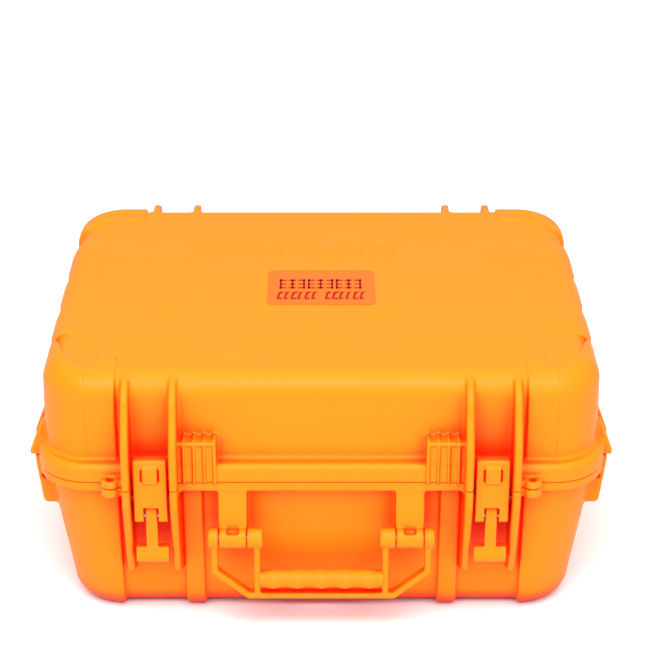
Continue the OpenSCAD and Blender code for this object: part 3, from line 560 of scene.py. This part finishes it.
def make_handle():
    cy, hz = -188.0, HANDLE_Z
    b = hz - 53
    s = Shape((-88, -198, b - 3), (88, -178, hz + 9), mirrored=True)
    outer = [(-57, b), (57, b), (84.7, b + 23), (84.7, hz), (-84.7, hz), (-84.7, b + 23)]
    win = [(52, b + 5), (55.2, b + 5), (79.7, b + 25.4), (79.7, hz + 25), (52, hz + 25)]
    s.add(lambda x, y, z: meet(poly(x, z, outer, 3.0), np.abs(y - cy + 0.5) - 4.5, 1.8))
    s.cut(lambda x, y, z: meet(x - 47.0, b + 5 - z, 1.5), 1.6)
    s.cut(lambda x, y, z: poly(x, z, win, 1.5), 1.6)
    s.add(rod_x(51.0, 6.0, cy, hz, 8.0, 1.6), 1.0, (44, -197, hz - 9), (58, -179, hz + 9))
    s.add(rod_x(83.0, 4.0, cy, hz, 8.0, 1.6), 1.0, (78, -197, hz - 9), (88, -179, hz + 9))

    def grip(x, y, z):
        # finger swells on the front and the under side
        wave = np.cos(x * (2 * math.pi / 18.5))
        a = hyp(y - cy + 0.5, z - b - 16.3)
        front = 0.5 + 0.5 * np.clip(-(y - cy) / np.maximum(a, 0.1), -1, 1)
        return meet(a - (7.2 + 0.9 * wave * front), x - 47.8, 1.2) * 0.95

    s.add(grip, 0.8, (0, -198, b + 6), (52, -178, b + 28))
    return s.build("handle_moulding", 0.7, "handle", ORANGE, ["carry_handle"])


# ---------------------------------------------------------------- latches


def make_latch(side):
    x0 = side * STATION
    tag = "left" if side < 0 else "right"
    py, pz = -180.0, PART - 14
    ly, lz = py - 4, pz - 13.5
    g0, g1 = PART - 67, PART - 54
    lever = Shape((x0 - 15, -193, g0 - 2), (x0 + 15, -174, PART - 8))
    lever.add(rod_x(x0, 14.5, py, pz, 4.0, 0.8))
    stem = [(py + 3, pz), (py - 3.6, pz + 1), (ly - 3.5, lz + 4), (ly - 3.5, g0 + 6), (ly + 2, g0 + 6),
            (ly + 3.2, lz)]
    grip = [(ly + 3.2, g1), (ly - 3.5, g1), (ly - 5.5, g0 + 3), (ly - 4, g0), (ly + 1.5, g0 + 1)]
    lever.add(plate(stem, x0, 4.5, 1.0, 0.8), 0.8)
    lever.add(plate(grip, x0, 12.5, 0.9, 0.9), 1.5)
    for k in range(3):
        lever.cut(rod_x(x0, 20, ly - 5.5, g0 + 3.2 + 2.7 * k, 0.65, 0), 0.3)
    lever.build("latch_lever_moulding_" + tag, 0.55, "lever_" + tag, ORANGE,
                ["latch_lever_" + tag])

    hook = Shape((x0 - 13.5, -193, lz - 6), (x0 + 13.5, -178, PART + 24))
    lip = PART + 15.3
    body = [(ly - 3.2, lz - 4), (ly - 5.6, lz - 2), (-RY - 7.5, PART - 8), (-RY - 6.5, lip + 5.5),
            (-RY - 4.5, lip + 7), (-RY + 2.3, lip + 7), (-RY + 2.3, lip), (-RY - 1.2, lip),
            (-RY - 2.2, pz + 7), (-RY - 2.8, pz - 2), (ly + 2.8, lz + 3), (ly + 2.8, lz - 3),
            (ly + 1, lz - 4)]
    tab = [(-RY - 6, PART + 2), (-RY - 8.7, PART + 4), (-RY - 8.2, lip + 1.5), (-RY - 6, lip + 3.5)]
    hook.add(plate(body, x0, 12.75, 0.9, 0.5))
    hook.add(plate(tab, x0, 5.75, 0.6, 0.3), 0.8)
    notch = ((x0 - 5.75, -220, lz - 30), (x0 + 5.75, -150, lz + 9.5))
    hook.cut(lambda x, y, z: block(x, y, z, *notch, 1.0), 0.6)
    relief = ((x0 - 5.75, py - 6.5, lz + 4), (x0 + 5.75, -150, lz + 17))
    hook.cut(lambda x, y, z: block(x, y, z, *relief, 0.8), 0.4)
    for j in (-1, 1):
        hook.cut(lambda x, y, z, j=j: block(x, y, z, (x0 + j * 6.6 - 0.7, -RY - 12, PART + 5),
                                            (x0 + j * 6.6 + 0.7, -RY - 4, PART + 15), 0.3), 0.3)
    for k in range(3):
        hook.cut(rod_x(x0, 5.0, -RY - 8.8, PART + 5.8 + 2.5 * k, 0.6, 0), 0.3)
    hook.build("latch_hook_moulding_" + tag, 0.55, "hook_" + tag, ORANGE,
               ["latch_hook_" + tag])


# ---------------------------------------------------------------- label


def make_label():
    cy, z0 = LABEL_MID, TOP - 2.0
    verts, quads = [], []
    rings = [(LABEL_X, LABEL_Y, z0), (LABEL_X, LABEL_Y, z0 + 0.28),
             (LABEL_X - 0.15, LABEL_Y - 0.15, z0 + 0.4)]
    n = 4 * 9
    for hx, hy, z in rings:
        for c in range(4):
            for k in range(9):
                a = math.pi / 2 * (c + k / 8)
                sx, sy = (1, -1, -1, 1)[c], (1, 1, -1, -1)[c]
                verts.append((sx * (hx - 5) + 5 * math.cos(a), cy + sy * (hy - 5) + 5 * math.sin(a), z))
    for k in range(len(rings) - 1):
        for i in range(n):
            j = (i + 1) % n
            quads.append((k * n + i, k * n + j, (k + 1) * n + j, (k + 1) * n + i))
    # top and bottom: strips across from the right half to the left half
    for base, flip in ((0, True), ((len(rings) - 1) * n, False)):
        for i in range(n // 2 - 1):
            q = (base + i, base + i + 1, base + n - 2 - i, base + n - 1 - i)
            quads.append(q[::-1] if flip else q)
    sheet = piece("label_sheet", np.array(verts), np.array(quads), "lid", LABEL, ["label_plate"])
    sheet.data.polygons.foreach_set("use_smooth", np.zeros(len(quads), bool))
    # two rows of plain bars stand where the print was
    verts, quads = [], []

    def bar(xa, xb, ya, yb, slant=0.0):
        n = len(verts)
        for z in (z0 + 0.41, z0 + 0.46):
            for x, y in ((xa, cy + ya), (xb, cy + ya), (xb + slant, cy + yb), (xa + slant, cy + yb)):
                verts.append((x, y, z))
        quads.extend([(n + 3, n + 2, n + 1, n), (n + 4, n + 5, n + 6, n + 7)])
        for i in range(4):
            quads.append((n + i, n + (i + 1) % 4, n + 4 + (i + 1) % 4, n + 4 + i))

    for k in range(9):
        x = -34.5 + 7.7 * k
        bar(x, x + 6.0, 12.0, 14.6)
        bar(x + 0.5, x + 5.5, 4.8, 7.0)
        bar(x, x + 6.0, -2.8, -0.4)
        bar(x + (0.2, 2.2, 4.0)[k % 3], x + (2.0, 4.0, 5.8)[k % 3], -3.6, 15.6)
    x = -37.0
    for w in (5, 4, 6, 3, 5, 4, 0, 5, 6, 4, 3, 5, 4):
        if w:
            bar(x, x + w * 0.8, -24.0, -20.6, 2.0)
            bar(x + 1.4, x + 1.4 + w * 0.7, -12.4, -9.0, 2.0)
            bar(x + 0.5, x + 2.5, -20.8, -12.0, 1.6)
        x += 5.6
    piece("label_marks", np.array(verts), np.array(quads), "lid", MARKS)


# ---------------------------------------------------------------- foam


def swell(x, y, z, size):
    """Slow uneven waves of cut foam."""
    a = np.sin(x / 17.0 + 1.3 * np.sin(y / 23.0)) * np.sin(y / 19.0 + 0.7)
    return size * (a + 0.6 * np.sin(x / 7.3 + y / 9.1) * np.sin(z / 6.7 + 0.4))


def make_base_foam():
    top = PART - 4.0
    s = Shape((-205, -164, 5), (205, 164, top + 1))

    def body(x, y, z):
        side = rect2(x, y, 203.6 - 16.0 * draft(z), 162.1 - 8.0 * draft(z), 32.0)
        return meet(meet(side, 7.5 - z, 12.0), z - top + 0.35 + swell(x, y, z, 0.3), 2.6)

    def pocket(x0, x1, y0, y1, z0, corner=5.0):
        cx, cy, hx, hy = (x0 + x1) / 2, (y0 + y1) / 2, (x1 - x0) / 2, (y1 - y0) / 2

        def room(x, y, z):
            # the mouth gives way where things are put in and taken out
            mouth = 1.6 * np.clip((z - top + 9) / 9, 0, 1) ** 2
            side = rect2(x - cx, y - cy, hx, hy, corner) - mouth + swell(x, y, z, 0.22)
            return meet(side, z0 - z, 2.0)

        s.cut(room, 2.2, (x0 - 2, y0 - 2, z0), (x1 + 2, y1 + 2, top + 1))

    s.add(body)
    pocket(-150, -6, -79, 87, 22, 6.0)
    for cx in (-146, -10):
        pocket(cx - 15, cx + 15, -18, 26, 62, 13.0)
    pocket(22, 178, -140, -18, 46)
    pocket(22, 178, -4, 138, 34)
    pocket(-192, -168, -110, 70, 72, 4.0)
    s.build("foam_bed", 1.5, "case_base", FOAM, ["base_foam"])


def make_lid_foam():
    low, high = TOP - 23.0, TOP - 7.0
    s = Shape((-180, -138, low - 1), (180, 138, high + 1))
    wave = lambda v: 0.5 + 0.5 * np.cos(v * (2 * math.pi / 24.0))

    def body(x, y, z):
        # egg-crate face: pits on a 24 mm grid
        face = low + 0.3 + 6.5 * wave(x - 30) * wave(y + 108) + swell(x, y, z, 0.2)
        side = rect2(x, y, 178.8, 137.3, 18.0) + swell(x, y, z, 0.25)
        return meet(meet(side, (face - z) * 0.75, 3.5), z - high, 0.8)

    s.add(body)
    s.cut(lambda x, y, z: rect2(x + 78, y - 6, 76.0, 85.0, 8.0) + swell(x, y, z, 0.3), 2.5)
    s.build("foam_pad", 1.4, "lid", FOAM, ["lid_foam"])


# ---------------------------------------------------------------- build everything

make_lid()
make_base()
make_handle()
make_latch(-1)
make_latch(1)
make_label()
make_base_foam()
make_lid_foam()

CARRIED = {
    "steel": STEEL, "seal": SEAL, "foam": FOAM, "splicer_yellow": YELLOW, "splicer_dark": DARK,
    "splicer_grey": GREY, "bumper_rubber": RUBBER, "screen": GLASS, "key_red": RED, "window": WINDOW,
    "board": BOARD, "brass": BRASS, "case_plastic": ORANGE, "label": LABEL,
}
# width in millimetres of the rounded edges on the frame's own nodes
EDGES = {
    0.8: ["splicer_housing", "splicer_bumpers"],
    0.6: ["splicer_floor", "wind_cover", "heater_lid"],
    0.5: ["screen_bezel", "key_power", "key_up", "key_down", "key_set", "key_heat", "battery_pack"],
    0.4: ["splicer_deck"],
    0.3: ["fiber_clamp_left", "fiber_clamp_right", "hinge_pin_left", "hinge_pin_right"],
    0.2: ["heater_tray"],
    0.15: ["v_groove_block"],
}
EDGE_OF = {node: width for width, nodes in EDGES.items() for node in nodes}


def round_edges(o, width):
    soft = o.modifiers.new("moulded_edges", "BEVEL")
    soft.width = width * 0.001
    soft.segments = 2
    soft.limit_method = "ANGLE"
    soft.angle_limit = math.radians(35)
    soft.harden_normals = True


for part in frame["record"]["subparts"]:
    o = frame["nodes"].get(part["node"])
    if o is not None and o.type == "MESH":
        o.data.materials.clear()
        o.data.materials.append(CARRIED[part["material_slot"]])
        if part["node"] in EDGE_OF:
            round_edges(o, EDGE_OF[part["node"]])

# ---------------------------------------------------------------- stage

floor_me = bpy.data.meshes.new("floor")
floor_me.from_pydata([(-9, -6, 0), (9, -6, 0), (9, 30, 0), (-9, 30, 0)], [], [(0, 1, 2, 3)])
floor = bpy.data.objects.new("floor", floor_me)
bpy.context.scene.collection.objects.link(floor)
floor_me.materials.append(material("floor_pale", (0.80, 0.80, 0.80), rough=0.9))

scene = bpy.context.scene
world = bpy.data.worlds.new("studio")
scene.world = world
world.use_nodes = True
world.node_tree.nodes["Background"].inputs["Color"].default_value = (1, 1, 1, 1)
world.node_tree.nodes["Background"].inputs["Strength"].default_value = 0.75


def area(name, loc, target, size, power):
    d = bpy.data.lights.new(name, "AREA")
    d.shape = "RECTANGLE"
    d.size, d.size_y = size
    d.energy = power
    o = bpy.data.objects.new(name, d)
    scene.collection.objects.link(o)
    o.location = loc
    o.rotation_mode = "QUATERNION"
    o.rotation_quaternion = (Vector(target) - Vector(loc)).to_track_quat("-Z", "Y")


area("key_box", (0, -1.5, 2.2), (0, 0, 0.1), (2.6, 1.8), 110)
area("front_box", (0, -2.8, 0.9), (0, 0, 0.1), (3.0, 1.2), 4)
area("top_box", (0, 0.9, 2.6), (0, 0, 0.1), (3.0, 2.0), 16)

cam_data = bpy.data.cameras.new("camera")
cam = bpy.data.objects.new("camera", cam_data)
scene.collection.objects.link(cam)
scene.camera = cam
cam_data.sensor_width = 36
cam_data.lens = 112.873846
cam_data.shift_x = 0.0018
cam.location = (0, -1.5286, 0.9071)
cam.rotation_euler = (math.radians(90 - 25.656), 0, 0)

scene.view_settings.view_transform = "Standard"
scene.view_settings.look = "None"
